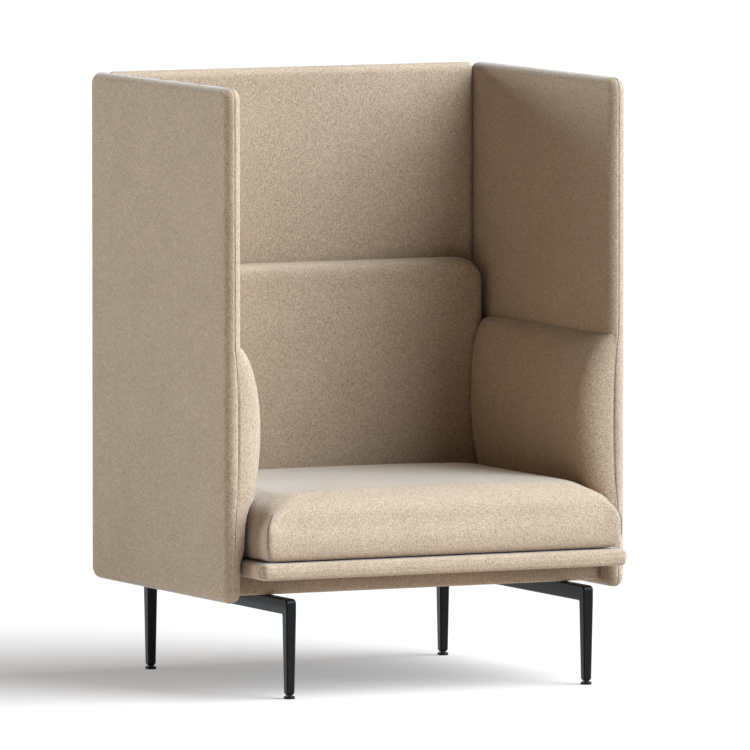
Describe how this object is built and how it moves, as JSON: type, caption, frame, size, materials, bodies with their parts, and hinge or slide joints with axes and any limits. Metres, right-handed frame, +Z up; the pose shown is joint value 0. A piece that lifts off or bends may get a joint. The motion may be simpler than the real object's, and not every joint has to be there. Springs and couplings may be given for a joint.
{
  "type": "high-back sofa",
  "caption": "High-back upholstered sofa for one person: padded side and back screens, arm bolsters, loose seat cushion on a deck, and slim cast leg frames with levelling glides.",
  "frame": {"origin": "on the floor under the middle of the sofa's outline", "axes": "+Z up, front of the sofa towards -Y, +X to the right of somebody who faces the sofa"},
  "size_m": [0.876, 0.737, 1.2],
  "materials": {
    "upholstery": "oatmeal wool weave",
    "plywood": "raw birch plywood",
    "timber": "raw beech",
    "foam": "cut foam",
    "dust_cloth": "non-woven cloth",
    "leg_casting": "satin black coat",
    "zinc_steel": "zinc plated",
    "grip_strip": "matte",
    "glide_steel": "black zinc",
    "glide_foot": "matte black"
  },
  "bodies": {
    "sofa": {"left_panel_outer_pad": "upholstery", "left_panel_inner_pad": "upholstery", "right_panel_outer_pad": "upholstery", "right_panel_inner_pad": "upholstery", "back_panel_rear_pad": "upholstery", "back_panel_front_pad": "upholstery", "left_arm_bolster": "upholstery", "right_arm_bolster": "upholstery", "back_cushion_cover": "upholstery", "seat_deck_pad": "upholstery", "front_rail_cover": "upholstery", "left_panel_board": "plywood", "right_panel_board": "plywood", "back_panel_board": "plywood", "seat_deck_board": "plywood", "front_rail": "timber", "rear_rail": "timber", "left_rail": "timber", "right_rail": "timber", "left_leg_bearer": "timber", "right_leg_bearer": "timber", "corner_blocks": "timber", "back_cushion_foam": "foam", "dust_cover": "dust_cloth", "left_leg_frame": "leg_casting", "right_leg_frame": "leg_casting", "leg_screws": "zinc_steel", "leg_inserts": "zinc_steel", "panel_bolts": "zinc_steel", "panel_inserts": "zinc_steel", "corner_brackets": "zinc_steel", "bracket_screws": "zinc_steel", "deck_screws": "zinc_steel", "seat_grip_strips": "grip_strip", "back_grip_strips": "grip_strip"},
    "seat_cushion": {"seat_cushion_cover": "upholstery", "seat_cushion_foam": "foam"},
    "glide_front_left": {"glide_stem_front_left": "glide_steel", "glide_pad_front_left": "glide_foot"},
    "glide_front_right": {"glide_stem_front_right": "glide_steel", "glide_pad_front_right": "glide_foot"},
    "glide_rear_left": {"glide_stem_rear_left": "glide_steel", "glide_pad_rear_left": "glide_foot"},
    "glide_rear_right": {"glide_stem_rear_right": "glide_steel", "glide_pad_rear_right": "glide_foot"}
  },
  "joints": [
    {"name": "seat_cushion_pull", "type": "slide", "parent": "sofa", "child": "seat_cushion", "axis": [0, -1, 0], "range_m": [0, 0.2]},
    {"name": "glide_front_left_level", "type": "slide", "parent": "sofa", "child": "glide_front_left", "axis": [0, 0, -1], "range_m": [0, 0.01]},
    {"name": "glide_front_right_level", "type": "slide", "parent": "sofa", "child": "glide_front_right", "axis": [0, 0, -1], "range_m": [0, 0.01]},
    {"name": "glide_rear_left_level", "type": "slide", "parent": "sofa", "child": "glide_rear_left", "axis": [0, 0, -1], "range_m": [0, 0.01]},
    {"name": "glide_rear_right_level", "type": "slide", "parent": "sofa", "child": "glide_rear_right", "axis": [0, 0, -1], "range_m": [0, 0.01]}
  ]
}
